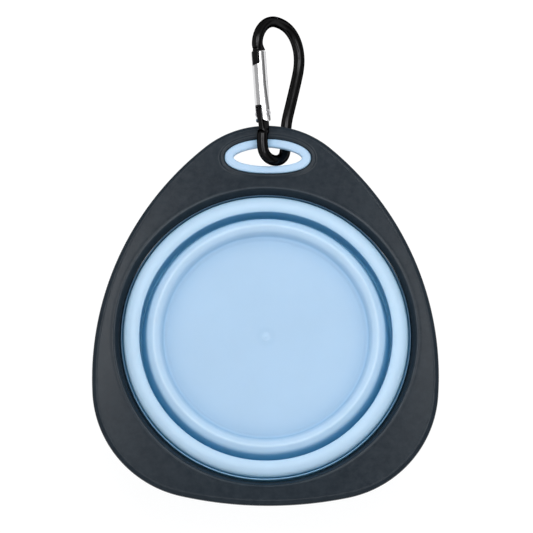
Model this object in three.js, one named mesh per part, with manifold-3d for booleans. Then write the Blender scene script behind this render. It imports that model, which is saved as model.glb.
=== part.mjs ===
// Collapsible travel bowl: a rounded-triangle plastic frame, a soft two-stage
// bellows bowl folded flat inside it, and a small spring-gate carabiner hanging
// in the slot at the top of the frame.
//
// Millimetres, +Z up. The origin is the centre of the underside of the bowl's
// base, on the bowl's axis. +Y points to the hanging slot. The bowl is collapsed.

import * as THREE from 'three';
import { mergeVertices } from 'three/addons/utils/BufferGeometryUtils.js';
import Module from 'manifold-3d';

// ---------------------------------------------------------------- dimensions
const SEG = 48;                 // facets round the bowl

// frame
const FRAME_TOP = 7.0;          // top face of the frame above the base's underside
const PLATE = 2.8;              // thickness of the frame's plate
const EDGE_H = 1.3;             // rounded outer edge, height
const EDGE_W = 1.5;             // rounded outer edge, width
const TOP_ARC = { y: 46.73, r: 39.68 };            // arc round the slot end
const CORNER = { x: 23.77, y: -20.56, r: 45.5 };  // two lower corners
const SIDE_R = 121.08;          // long bowed sides
const BOTTOM_R = 161.1;         // bowed lower edge
const MOUTH_TOP_R = 60.3;       // frame's opening at its top face
const MOUTH_R = 59.1;           // straight bore of the collar
const LIP_R = 58.44;            // foot of the sloped lead-in, a lip over the bowl's rim
const LIP_Z = 3.75;             // underside of that lip
const COLLAR_R = 61.9;          // outside of the collar under the plate
const COLLAR_BOTTOM = -6.6;     // the ring that the folded bowl rests on
const KEY_Z = -0.4;             // mid height of the moulded key between collar and bowl
const KEY_H = 1.4;              // height of the key rib
const KEY_R = 59.7;             // tip of the key rib

// hanging slot with its soft lining
const SLOT_Y = 73.3;
const HOLE = { a: 13.65, up: 4.24, pu: 1.7, down: 3.63, pd: 2.0 };
const LINING = { a: 17.24, up: 7.43, pu: 2.0, down: 6.53, pd: 2.4 };
const LINING_PROUD = 0.1;
const GAP = 0.3;                // clearance between touching pieces

// bellows bowl
const SKIN = 1.35;              // wall thickness
const RIM_OUT = 58.8;
const RIM_IN = 56.95;
const RIM_EDGE = 57.95;           // outside of the rim's free upper edge
const RIM_TOP = FRAME_TOP - 3.8;
const VALLEY = -4.7;            // lowest line of both outer folds
const CREST1 = { r: 53.6, half: 3.0, top: 6.8 };
const CREST2 = { r: 44.8, half: 2.4, top: 6.6 };
const VALLEY2_R = 49.3;
const SEAM = 0.15;              // half the gap where two bands of the bellows meet
const FLOOR_R = 41.0;
const FLOOR_TOP = 2.2;
const NUB = { x: 0.7, y: 1.0, r: 1.6, h: 0.35 };

// carabiner
const LEAN = THREE.MathUtils.degToRad(0.605);  // in the frame's plane
const TWIST = THREE.MathUtils.degToRad(47);    // about its own length
const LINK_X = 3.244;           // where its long axis crosses the slot
const LINK_Z = 6.6;
const ROD_R = 2.1;
const HOOK_PATH = [             // centre line, across and along the carabiner
  [-9.32, 116.22], [-9.79, 118.70], [-9.15, 121.80], [-7.18, 125.02], [-4.10, 127.50],
  [-0.40, 128.70], [3.95, 128.50], [7.85, 127.28], [10.90, 125.16], [12.98, 122.50],
  [14.42, 119.00], [14.90, 115.00], [14.42, 110.90], [13.05, 106.00], [10.25, 97.30],
  [7.50, 88.50], [6.88, 82.52], [6.76, 78.20], [5.95, 75.05], [3.62, 73.02],
  [0.00, 72.17], [-3.59, 72.84], [-5.90, 74.75], [-6.80, 77.80], [-6.80, 81.60],
  [-6.23, 86.41],
];
const PIVOT = [-6.57, 90.20];   // gate pivot, across and along
const GATE_LEAN = 0.1044;       // gate's own slant in the carabiner's plane
const GATE_R = 2.95;
const GATE_TOP = 25.2;          // from the pivot
const GATE_END_R = 3.05;        // round of the forked lower end
const FORK = 1.4;               // half width of the gate's fork
const TANG = 1.1;               // half thickness of the hook's tang in it
const NOTCH = 1.75;             // half width of the gate's upper slot
const NOSE = 1.45;              // half thickness of the hook's nose in it
const PIN_R = 0.95;
const BORE_R = 1.65;            // spring bore

// ------------------------------------------------------------------- helpers
const wasm = await Module();
wasm.setup();

function clean(geometry) {
  let g = geometry.clone();
  for (const name of Object.keys(g.attributes)) if (name !== 'position') g.deleteAttribute(name);
  g = mergeVertices(g, 1e-4);
  const p = g.attributes.position, idx = g.index.array;
  const keep = [];
  let volume = 0;
  const a = new THREE.Vector3(), b = new THREE.Vector3(), c = new THREE.Vector3();
  for (let i = 0; i < idx.length; i += 3) {
    const [i0, i1, i2] = [idx[i], idx[i + 1], idx[i + 2]];
    if (i0 === i1 || i1 === i2 || i0 === i2) continue;
    keep.push(i0, i1, i2);
    a.fromBufferAttribute(p, i0); b.fromBufferAttribute(p, i1); c.fromBufferAttribute(p, i2);
    volume += a.dot(b.clone().cross(c));
  }
  if (volume < 0) for (let i = 0; i < keep.length; i += 3) [keep[i], keep[i + 1]] = [keep[i + 1], keep[i]];
  g.setIndex(keep);
  return g;
}

function solid(geometry) {
  const g = clean(geometry);
  return new wasm.Manifold(new wasm.Mesh({
    numProp: 3,
    vertProperties: new Float32Array(g.attributes.position.array),
    triVerts: new Uint32Array(g.index.array),
  }));
}

function surface(manifold) {
  const m = manifold.getMesh();
  const xyz = new Float32Array(m.numVert * 3);
  for (let i = 0; i < m.numVert; i++) {
    for (let k = 0; k < 3; k++) xyz[3 * i + k] = m.vertProperties[i * m.numProp + k];
  }
  const g = new THREE.BufferGeometry();
  g.setAttribute('position', new THREE.BufferAttribute(xyz, 3));
  g.setIndex(new THREE.BufferAttribute(new Uint32Array(m.triVerts), 1));
  return g;
}

const v2 = (x, y) => new THREE.Vector2(x, y);

// a ring or disc turned about Z from a profile of [radius, height]
function turned(profile, segments = SEG) {
  const pts = profile.map(([r, z]) => v2(r, z));
  const g = new THREE.LatheGeometry(pts, segments);
  g.rotateX(Math.PI / 2);
  return g;
}

// a closed profile, with the first point repeated at the end
const ring = (profile, segments) => turned([...profile, profile[0]], segments);

// points on an arc in the plane, angles in degrees
function arc(cx, cy, r, from, to, steps) {
  const out = [];
  for (let i = 0; i <= steps; i++) {
    const t = THREE.MathUtils.degToRad(from + (to - from) * i / steps);
    out.push([cx + r * Math.cos(t), cy + r * Math.sin(t)]);
  }
  return out;
}

function plate(points, low, high) {
  const g = new THREE.ExtrudeGeometry(new THREE.Shape(points.map(([x, y]) => v2(x, y))),
    { depth: high - low, bevelEnabled: false, steps: 1 });
  g.translate(0, 0, low);
  return g;
}

// ---------------------------------------------------------------- the outline
function outline() {
  const { y: ty, r: tr } = TOP_ARC;
  const { x: cx, y: cy, r: cr } = CORNER;
  const bottomY = cy + Math.sqrt((BOTTOM_R - cr) ** 2 - cx ** 2);
  const a = SIDE_R - tr, b = SIDE_R - cr;
  const dx = cx, dy = cy - ty, d = Math.hypot(dx, dy);
  const e = (a * a - b * b + d * d) / (2 * d), h = Math.sqrt(a * a - e * e);
  const ex = [dx / d, dy / d];
  const side = [e * ex[0] + h * ex[1], ty + e * ex[1] - h * ex[0]];
  const deg = (x, y) => THREE.MathUtils.radToDeg(Math.atan2(y, x));
  const topEnd = deg(0 - side[0], ty - side[1]);
  const cornerStart = deg(cx - side[0], cy - side[1]);
  const cornerEnd = deg(cx, cy - bottomY);
  const right = [
    ...arc(0, ty, tr, 90, topEnd, 9),
    ...arc(side[0], side[1], SIDE_R, topEnd, cornerStart, 6).slice(1),
    ...arc(cx, cy, cr, cornerStart, cornerEnd, 12).slice(1),
    ...arc(0, bottomY, BOTTOM_R, cornerEnd, -90, 3).slice(1),
  ];
  const left = right.slice(1, -1).reverse().map(([x, y]) => [-x, y]);
  return [...right, ...left].reverse();
}

// the slot's lens: an oval whose upper and lower halves differ
function lens(o, grow, steps = 10) {
  const top = [], low = [];
  for (let i = 0; i <= steps; i++) {
    const t = Math.PI * i / steps, c = Math.cos(t);
    const up = Math.pow(Math.max(0, 1 - Math.pow(Math.abs(c), o.pu)), 1 / o.pu);
    const dn = Math.pow(Math.max(0, 1 - Math.pow(Math.abs(c), o.pd)), 1 / o.pd);
    top.push([(o.a + grow) * c, SLOT_Y + (o.up + grow) * up]);
    if (i > 0 && i < steps) low.push([-(o.a + grow) * c, SLOT_Y - (o.down + grow) * dn]);
  }
  return [...top, ...low];
}

const make = (name, geometry, color, roughness, metalness) => {
  const mesh = new THREE.Mesh(geometry, new THREE.MeshStandardMaterial({ color, roughness, metalness }));
  mesh.name = name;
  return mesh;
};
const SLATE = [0x363d45, 0.55, 0.0];
const BLUE = [0xaed4f4, 0.5, 0.0];
const BLACK = [0x0d0d0e, 0.25, 0.4];
const SILVER = [0xc9c9cc, 0.3, 1.0];
const STEEL = [0x9a9a9c, 0.35, 1.0];

// --------------------------------------------------------------------- frame
const edge = new THREE.ExtrudeGeometry(new THREE.Shape(outline().map(([x, y]) => v2(x, y))), {
  depth: PLATE - 2 * EDGE_H, steps: 1, bevelEnabled: true,
  bevelThickness: EDGE_H, bevelSize: EDGE_W, bevelOffset: -EDGE_W, bevelSegments: 3,
});
edge.translate(0, 0, FRAME_TOP - PLATE + EDGE_H);
const collar = turned([
  [0, COLLAR_BOTTOM], [COLLAR_R - 0.5, COLLAR_BOTTOM], [COLLAR_R, COLLAR_BOTTOM + 0.5],
  [COLLAR_R + 0.25, FRAME_TOP - PLATE + 0.2], [0, FRAME_TOP - PLATE + 0.2],
]);
const mouth = turned([
  [0, COLLAR_BOTTOM - 1], [MOUTH_R, COLLAR_BOTTOM - 1],
  [MOUTH_R, KEY_Z - KEY_H / 2 - GAP], [KEY_R + GAP, KEY_Z - KEY_H / 2 - GAP],
  [KEY_R + GAP, KEY_Z + KEY_H / 2 + GAP], [MOUTH_R, KEY_Z + KEY_H / 2 + GAP],
  [MOUTH_R, LIP_Z], [LIP_R, LIP_Z], [LIP_R + 0.05, LIP_Z + 0.25], [MOUTH_TOP_R - 0.25, FRAME_TOP - 0.45],
  [MOUTH_TOP_R, FRAME_TOP], [MOUTH_TOP_R, FRAME_TOP + 1], [0, FRAME_TOP + 1],
]);
const slotCut = plate(lens(LINING, 0), FRAME_TOP - PLATE - 1, FRAME_TOP + 1);
const frame = solid(edge).add(solid(collar)).subtract(solid(mouth)).subtract(solid(slotCut));

// soft lining of the slot, held all round by the frame's slot
const lining = solid(plate(lens(LINING, -GAP), FRAME_TOP - PLATE - LINING_PROUD, FRAME_TOP + LINING_PROUD))
  .subtract(solid(plate(lens(HOLE, 0), FRAME_TOP - PLATE - 1, FRAME_TOP + 1)));

// ------------------------------------------------------------- bellows bowl
// rim band, keyed into the collar
const rimBand = ring([
  [RIM_IN, VALLEY + 0.5], [RIM_IN + 0.45, VALLEY], [RIM_OUT, VALLEY],
  [RIM_OUT, KEY_Z - KEY_H / 2], [KEY_R, KEY_Z - KEY_H / 2], [KEY_R, KEY_Z + KEY_H / 2],
  [RIM_OUT, KEY_Z + KEY_H / 2], [RIM_OUT, 0.8], [RIM_EDGE, 1.8], [RIM_EDGE, RIM_TOP - 0.3],
  [RIM_EDGE - 0.35, RIM_TOP], [RIM_IN + 0.35, RIM_TOP], [RIM_IN, RIM_TOP - 0.4],
]);

// half of a folded crest between two radii, outer skin then inner skin
function crest(c, from, to, steps) {
  const outer = arc(0, 0, 1, from, to, steps).map(([x, y]) => [c.r + c.half * x, c.top - c.half + c.half * y]);
  const inner = arc(0, 0, 1, to, from, steps)
    .map(([x, y]) => [c.r + (c.half - SKIN) * x, c.top - c.half + (c.half - SKIN) * y]);
  return [outer, inner];
}
const trim = (list, test) => list.filter(test);

// upper web: up from the outer valley to the outer crest
const webOut = CREST1.r + CREST1.half, webIn = webOut - SKIN;
const [w1o, w1i] = crest(CREST1, 0, 87, 5);
const upperWeb = ring([
  [webIn, VALLEY], [webOut - 0.4, VALLEY], [webOut, VALLEY + 0.4], ...w1o, ...w1i,
]);

// tier band: from the outer crest down to the inner valley
const tierIn = CREST1.r - CREST1.half;
const [t1o, t1i] = crest(CREST1, 93, 180, 5);
const tierBand = ring([
  ...t1o, [tierIn - 0.7, -2.2], [VALLEY2_R + SEAM, -3.35], [VALLEY2_R + SEAM, VALLEY],
  [tierIn - 0.1, VALLEY], [tierIn + 0.65, -3.4], ...t1i,
]);

// lower web: up from the inner valley to the inner crest
const web2Out = CREST2.r + CREST2.half;
const [w2o, w2i] = crest(CREST2, 0, 86, 4);
const lowerWeb = ring([
  [VALLEY2_R - SEAM, VALLEY], [VALLEY2_R - SEAM, -3.35], [48.7, -2.2], [47.7, 2.0], ...w2o, ...w2i,
  [46.35, 2.0], [47.3, -2.6], [48.0, VALLEY],
]);

// base: inner crest, sloped wall and flat floor
const [b2o] = crest(CREST2, 94, 136, 2);
const base = solid(turned([
  [0, 0], [FLOOR_R - 0.6, 0], [FLOOR_R + 0.4, 0.35], [43.2, 3.6],
  [CREST2.r - 0.55, CREST2.top - SKIN - 0.15], [CREST2.r - SEAM, CREST2.top - SKIN],
  ...b2o, [41.9, 3.6], [FLOOR_R, FLOOR_TOP + 0.35], [FLOOR_R - 1.0, FLOOR_TOP], [0, FLOOR_TOP],
]));
const nub = new THREE.CylinderGeometry(NUB.r * 0.6, NUB.r, NUB.h + 0.5, 16);
nub.rotateX(Math.PI / 2);
nub.translate(NUB.x, NUB.y, FLOOR_TOP + (NUB.h - 0.5) / 2);
const baseCup = base.add(solid(nub));

// ---------------------------------------------------------------- carabiner
// across = local x, along = local y, through the loop = local z
const hookCurve = new THREE.CatmullRomCurve3(
  HOOK_PATH.map(([a, l]) => new THREE.Vector3(a, l, 0)), false, 'centripetal');
function round(r, sides) {
  const pts = [];
  for (let i = 0; i < sides; i++) {
    const t = 2 * Math.PI * (i + 0.5) / sides;
    pts.push(v2(r * Math.cos(t), r * Math.sin(t)));
  }
  return new THREE.Shape(pts);
}
const rod = new THREE.ExtrudeGeometry(round(ROD_R, 12), { steps: 64, extrudePath: hookCurve, bevelEnabled: false });

const gateMatrix = new THREE.Matrix4().makeRotationZ(GATE_LEAN).setPosition(PIVOT[0], PIVOT[1], 0);
const inHook = (g) => g.applyMatrix4(gateMatrix);

// flattened nose that seats in the gate's upper slot
const nose = inHook(plate([[-2.8, 20.4], [-2.3, 20.1], [-1.2, 20.1], [0.0, 20.9], [0.0, 25.5], [1.5, 25.75], [1.5, 28.5],
  [-1.5, 28.5], [-2.0, 26.4], [-2.8, 25.6]], -NOSE, NOSE));
// flattened tang that the gate's fork straddles
const tang = inHook(plate([[-1.6, -6.0], [1.6, -6.0], [2.0, -3.6], [2.0, 1.4], [1.75, 2.3], [-1.05, 2.3],
  [-1.05, 3.9], [-2.2, 3.9], [-2.3, 2.0], [-2.0, 0.4], [-2.0, -3.6]], -TANG, TANG));
const pinHole = new THREE.CylinderGeometry(PIN_R + GAP, PIN_R + GAP, 12, 20);
pinHole.rotateX(Math.PI / 2);
const hook = solid(rod).add(solid(nose)).add(solid(tang)).subtract(solid(inHook(pinHole.clone())));

// gate: a forked tube with a blind spring bore
const tube = new THREE.CylinderGeometry(GATE_R, GATE_R, GATE_TOP + GATE_END_R, 24);
tube.translate(0, (GATE_TOP - GATE_END_R) / 2, 0);
const stem = new THREE.BoxGeometry(8, GATE_TOP + 1, 8);
stem.translate(0, (GATE_TOP + 1) / 2, 0);
const endRound = new THREE.CylinderGeometry(GATE_END_R, GATE_END_R, 8, 32);
endRound.rotateX(Math.PI / 2);
const box = (x0, x1, y0, y1, z0, z1) => {
  const g = new THREE.BoxGeometry(x1 - x0, y1 - y0, z1 - z0);
  g.translate((x0 + x1) / 2, (y0 + y1) / 2, (z0 + z1) / 2);
  return solid(g);
};
const bore = new THREE.CylinderGeometry(BORE_R, BORE_R, 16.5, 20);
bore.translate(0, 1.5 + 16.5 / 2, 0);
const gate = solid(tube).intersect(solid(stem).add(solid(endRound)))
  .subtract(box(-4, 4, -4, 4.3, -FORK, FORK))
  .subtract(box(-4, 0.4, 19.6, 27, -NOTCH, NOTCH))
  .subtract(solid(bore)).subtract(solid(pinHole));

// pivot rivet with two low heads
const rivet = turned([
  [0, -3.45], [1.0, -3.45], [1.35, -3.3], [1.35, -3.1], [PIN_R, -3.1],
  [PIN_R, 3.1], [1.35, 3.1], [1.35, 3.3], [1.0, 3.45], [0, 3.45],
], 20);

// plunger that bears on the tang's corner, and the coil spring behind it
const alongGate = (profile, segments) => {
  const g = turned(profile, segments);
  g.rotateX(-Math.PI / 2);
  return g;
};
const plunger = alongGate([[0, 2.6], [0.5, 2.6], [0.7, 2.8], [0.7, 4.9], [1.3, 4.9], [1.3, 7.8], [0.5, 7.8], [0.5, 9.6], [0, 9.6]], 16);
class Helix extends THREE.Curve {
  getPoint(t, target = new THREE.Vector3()) {
    const w = 2 * Math.PI * 6.5 * t;
    return target.set(1.08 * Math.cos(w), 9.1 + 8.3 * t, 1.08 * Math.sin(w));
  }
}
const spring = new THREE.ExtrudeGeometry(round(0.22, 6), { steps: 65, extrudePath: new Helix(), bevelEnabled: false });

// ------------------------------------------------------------------ assembly
const bowl = new THREE.Group();
bowl.add(
  make('frame', surface(frame), ...SLATE),
  make('slot_lining', surface(lining), ...BLUE),
  make('rim_band', clean(rimBand), ...BLUE),
  make('upper_fold_web', clean(upperWeb), ...BLUE),
  make('tier_band', clean(tierBand), ...BLUE),
  make('lower_fold_web', clean(lowerWeb), ...BLUE),
  make('base_cup', surface(baseCup), ...BLUE),
);

const lean = new THREE.Group();
lean.rotation.z = LEAN;
const link = new THREE.Group();
link.position.set(LINK_X, 0, LINK_Z);
link.rotation.y = TWIST;
const gateGroup = new THREE.Group();
gateGroup.position.set(PIVOT[0], PIVOT[1], 0);
gateGroup.rotation.z = GATE_LEAN;
gateGroup.add(
  make('carabiner_gate', surface(gate), ...SILVER),
  make('gate_pivot_rivet', clean(rivet), ...STEEL),
  make('spring_plunger', clean(plunger), ...STEEL),
  make('gate_spring', clean(spring), ...STEEL),
);
link.add(make('carabiner_hook', surface(hook), ...BLACK), gateGroup);
lean.add(link);

const travelBowl = new THREE.Group();
travelBowl.add(bowl, lean);
export default travelBowl;
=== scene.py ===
import math
import bpy
import bmesh
import numpy as np
from mathutils import Matrix, Vector
from mathutils.geometry import delaunay_2d_cdt


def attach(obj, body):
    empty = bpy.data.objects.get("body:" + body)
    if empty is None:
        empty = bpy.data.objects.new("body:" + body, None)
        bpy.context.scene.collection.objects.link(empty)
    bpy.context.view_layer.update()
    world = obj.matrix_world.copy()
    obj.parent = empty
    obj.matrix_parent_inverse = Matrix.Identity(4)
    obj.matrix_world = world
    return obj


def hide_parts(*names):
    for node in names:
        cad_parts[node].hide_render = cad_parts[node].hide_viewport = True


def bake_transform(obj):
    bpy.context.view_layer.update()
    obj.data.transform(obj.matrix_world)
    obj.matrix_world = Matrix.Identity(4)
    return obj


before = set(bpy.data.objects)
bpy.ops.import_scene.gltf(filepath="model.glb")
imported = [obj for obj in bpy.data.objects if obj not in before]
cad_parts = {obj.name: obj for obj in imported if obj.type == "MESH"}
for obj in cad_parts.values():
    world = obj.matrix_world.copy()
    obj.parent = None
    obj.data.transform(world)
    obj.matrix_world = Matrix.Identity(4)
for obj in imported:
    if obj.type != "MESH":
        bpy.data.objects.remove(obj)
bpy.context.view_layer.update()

MM = 0.001

# ------------------------------------------------------------------ dimensions
TOP = 7.0               # frame's top face, mm above the base's underside
PLATE = 2.8
UNDER = TOP - PLATE
COLLAR_BOTTOM = -6.6
GROUND = -39.05          # what the base stands on once both stages have dropped
SEGS = 192

TOP_ARC = (46.73, 39.68)
CORNER = (23.95, -20.56, 45.32)
SIDE_R = 121.08
BOTTOM_R = 159.0

SLOT_Y = 73.3
HOLE = dict(a=13.65, up=4.24, pu=1.7, down=3.63, pd=2.0)
LINING = dict(a=17.24, up=7.43, pu=2.0, down=6.53, pd=2.4)

BOWL_AT = (0.0, 0.6)            # the soft moulding sits a little off the frame's middle
NUB_AT = (0.1, 1.0)

LEAN = math.radians(0.605)
TWIST = math.radians(47)
LINK_X = 3.244
LINK_Z = 6.6
ROD_R = 2.2
PIVOT = (-6.57, 90.20)
GATE_LEAN = 0.1044
GATE_R = 2.95
GATE_TOP = 25.2
FORK = (-1.4, 1.85)             # the gate's lower slot, across the carabiner's plane
NOTCH = (-1.25, 2.2)            # the gate's upper slot
HOOK_PATH = [
    (-9.32, 116.22), (-9.79, 118.70), (-9.15, 121.80), (-7.18, 125.02), (-4.10, 127.50),
    (-0.40, 128.70), (3.95, 128.50), (7.85, 127.28), (10.90, 125.16), (12.98, 122.50),
    (14.42, 119.00), (14.90, 115.00), (14.42, 110.90), (13.05, 106.00), (10.25, 97.30),
    (7.50, 88.50), (6.88, 82.52), (6.76, 78.20), (5.95, 75.00), (3.62, 72.90),
    (0.00, 72.05), (-3.59, 72.72), (-5.90, 74.70), (-6.80, 77.80), (-6.80, 81.60),
    (-6.23, 86.41),
]


# --------------------------------------------------------------------- helpers
def spline(points, per=8):
    """Smooth curve through the points, centripetal Catmull-Rom."""
    p = [np.array(q, float) for q in points]
    p = [2 * p[0] - p[1]] + p + [2 * p[-1] - p[-2]]
    out = []
    for i in range(1, len(p) - 2):
        p0, p1, p2, p3 = p[i - 1], p[i], p[i + 1], p[i + 2]
        t0 = 0.0
        t1 = t0 + max(np.linalg.norm(p1 - p0), 1e-6) ** 0.5
        t2 = t1 + max(np.linalg.norm(p2 - p1), 1e-6) ** 0.5
        t3 = t2 + max(np.linalg.norm(p3 - p2), 1e-6) ** 0.5
        for k in range(per):
            t = t1 + (t2 - t1) * k / per
            a1 = (t1 - t) / (t1 - t0) * p0 + (t - t0) / (t1 - t0) * p1
            a2 = (t2 - t) / (t2 - t1) * p1 + (t - t1) / (t2 - t1) * p2
            a3 = (t3 - t) / (t3 - t2) * p2 + (t - t2) / (t3 - t2) * p3
            b1 = (t2 - t) / (t2 - t0) * a1 + (t - t0) / (t2 - t0) * a2
            b2 = (t3 - t) / (t3 - t1) * a2 + (t - t1) / (t3 - t1) * a3
            out.append((t2 - t) / (t2 - t1) * b1 + (t - t1) / (t2 - t1) * b2)
    out.append(p[-2])
    return [tuple(q) for q in out]


def mesh_object(name, verts, faces, normals=None, matrix=None):
    """verts in mm; normals are one per vertex."""
    me = bpy.data.meshes.new(name)
    v = np.asarray(verts, float)
    n = None if normals is None else np.asarray(normals, float)
    if matrix is not None:
        m = np.array(matrix)
        v = v @ m[:3, :3].T + m[:3, 3]
        if n is not None:
            n = n @ m[:3, :3].T
    me.from_pydata((v * MM).tolist(), [], [tuple(f) for f in faces])
    me.validate(clean_customdata=False)
    for poly in me.polygons:
        poly.use_smooth = True
    if n is not None:
        n = n / np.maximum(np.linalg.norm(n, axis=1, keepdims=True), 1e-9)
        me.normals_split_custom_set_from_vertices(n.tolist())
    ob = bpy.data.objects.new(name, me)
    bpy.context.scene.collection.objects.link(ob)
    return ob


def turned(name, runs, segs=SEGS, centre=None):
    """A solid turned about Z. runs are lists of (r, z); each run is smooth inside, and runs
    meet at sharp corners. A run may be a dict with pts, n0 and n1: fixed normals at its ends.
    The loop of runs closes on itself, or starts and ends on the axis."""
    pts, seg_run = [], []
    spec = []
    for run in runs:
        if not isinstance(run, dict):
            run = dict(pts=run)
        spec.append(run)
    loops = []                      # per run: list of (point index)
    for run in spec:
        ids = []
        for q in run["pts"]:
            if pts and abs(pts[-1][0] - q[0]) < 1e-6 and abs(pts[-1][1] - q[1]) < 1e-6:
                ids.append(len(pts) - 1)
            else:
                pts.append((float(q[0]), float(q[1])))
                ids.append(len(pts) - 1)
        loops.append(ids)
    closed = pts[0][0] > 1e-6 or pts[-1][0] > 1e-6
    if closed and abs(pts[0][0] - pts[-1][0]) < 1e-6 and abs(pts[0][1] - pts[-1][1]) < 1e-6:
        last = len(pts) - 1
        pts.pop()
        loops = [[0 if i == last else i for i in ids] for ids in loops]
    elif closed:
        loops[-1].append(0)
    # vertices
    verts, ring = [], []
    ang = np.arange(segs) * 2 * math.pi / segs
    for (r, z) in pts:
        if r < 1e-6:
            ring.append([len(verts)] * segs)
            verts.append((0.0, 0.0, z))
        else:
            ox, oy = centre(r, z) if centre else (0.0, 0.0)
            start = len(verts)
            verts.extend((ox + r * math.cos(a), oy + r * math.sin(a), z) for a in ang)
            ring.append(list(range(start, start + segs)))
    faces, loop_n = [], []
    # signed area decides which way is out
    area = 0.0
    for ids in loops:
        for a, b in zip(ids[:-1], ids[1:]):
            area += pts[a][0] * pts[b][1] - pts[b][0] * pts[a][1]
    flip = -1.0 if area < 0 else 1.0
    for ids, run in zip(loops, spec):
        k = len(ids)
        segn = []
        for a, b in zip(ids[:-1], ids[1:]):
            dr, dz = pts[b][0] - pts[a][0], pts[b][1] - pts[a][1]
            ln = math.hypot(dr, dz) or 1.0
            segn.append((flip * dz / ln, -flip * dr / ln, ln))
        ptn = []
        for i in range(k):
            if i == 0:
                n = run.get("n0") or segn[0][:2]
            elif i == k - 1:
                n = run.get("n1") or segn[-1][:2]
            else:
                w0, w1 = 1 / segn[i - 1][2], 1 / segn[i][2]
                n = (segn[i - 1][0] * w0 + segn[i][0] * w1, segn[i - 1][1] * w0 + segn[i][1] * w1)
            ln = math.hypot(*n) or 1.0
            ptn.append((n[0] / ln, n[1] / ln))
        for i in range(k - 1):
            A, B = ring[ids[i]], ring[ids[i + 1]]
            na, nb = ptn[i], ptn[i + 1]
            for j in range(segs):
                j2 = (j + 1) % segs
                quad = [(A[j], j, na), (A[j2], j2, na), (B[j2], j2, nb), (B[j], j, nb)]
                if flip < 0:
                    quad.reverse()
                ids_q, out, nn = [], [], []
                for vid, jj, n in quad:
                    if vid in ids_q:
                        continue
                    ids_q.append(vid)
                    nn.append((n[0] * math.cos(ang[jj]), n[0] * math.sin(ang[jj]), n[1]))
                if len(ids_q) < 3:
                    continue
                faces.append(ids_q)
                loop_n.extend(nn)
    me = bpy.data.meshes.new(name)
    me.from_pydata((np.asarray(verts) * MM).tolist(), [], faces)
    for poly in me.polygons:
        poly.use_smooth = True
    me.update()
    me.normals_split_custom_set(loop_n)
    ob = bpy.data.objects.new(name, me)
    bpy.context.scene.collection.objects.link(ob)
    return ob


def vertex_normals(verts, faces, flat=()):
    """Corner-weighted normals; faces in flat count far more than the rest."""
    v = np.asarray(verts, float)
    out = np.zeros_like(v)
    flat = set(flat)
    for fi, f in enumerate(faces):
        p = v[list(f)]
        n = np.zeros(3)
        for i in range(1, len(f) - 1):
            n += np.cross(p[i] - p[0], p[i + 1] - p[0])
        ln = np.linalg.norm(n)
        if ln < 1e-12:
            continue
        n /= ln
        for i, vid in enumerate(f):
            a = p[(i + 1) % len(f)] - p[i]
            b = p[i - 1] - p[i]
            c = np.dot(a, b) / max(np.linalg.norm(a) * np.linalg.norm(b), 1e-12)
            w = math.acos(max(-1.0, min(1.0, c)))
            out[vid] += n * w * (1000.0 if fi in flat else 1.0)
    return out


# ------------------------------------------------------------------- materials
def principled(name, color, rough, metallic=0.0):
    mat = bpy.data.materials.new(name)
    mat.use_nodes = True
    nt = mat.node_tree
    b = nt.nodes["Principled BSDF"]
    b.inputs["Base Color"].default_value = (*color, 1)
    b.inputs["Roughness"].default_value = rough
    b.inputs["Metallic"].default_value = metallic
    return mat, nt, b


def add(nt, kind, **kw):
    n = nt.nodes.new(kind)
    for k, v in kw.items():
        setattr(n, k, v)
    return n


def noise(nt, coord, scale, detail=3.0, rough=0.55, dist=0.0):
    n = add(nt, "ShaderNodeTexNoise")
    n.inputs["Scale"].default_value = scale
    n.inputs["Detail"].default_value = detail
    n.inputs["Roughness"].default_value = rough
    n.inputs["Distortion"].default_value = dist
    nt.links.new(coord, n.inputs["Vector"])
    return n


def ramp(nt, fac, stops):
    r = add(nt, "ShaderNodeValToRGB")
    els = r.color_ramp.elements
    while len(els) < len(stops):
        els.new(0.5)
    for e, (p, c) in zip(els, stops):
        e.position = p
        e.color = (*c, 1) if len(c) == 3 else c
    nt.links.new(fac, r.inputs["Fac"])
    return r


def bump(nt, b, height, strength, distance, previous=None):
    n = add(nt, "ShaderNodeBump")
    n.inputs["Strength"].default_value = strength
    n.inputs["Distance"].default_value = distance
    nt.links.new(height, n.inputs["Height"])
    if previous is not None:
        nt.links.new(previous.outputs["Normal"], n.inputs["Normal"])
    nt.links.new(n.outputs["Normal"], b.inputs["Normal"])
    return n


def rough_map(nt, b, fac, low, high):
    m = add(nt, "ShaderNodeMapRange")
    m.inputs["From Min"].default_value = 0.3
    m.inputs["From Max"].default_value = 0.7
    m.inputs["To Min"].default_value = low
    m.inputs["To Max"].default_value = high
    nt.links.new(fac, m.inputs["Value"])
    nt.links.new(m.outputs["Result"], b.inputs["Roughness"])


def coords(nt):
    return add(nt, "ShaderNodeTexCoord").outputs["Object"]


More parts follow.
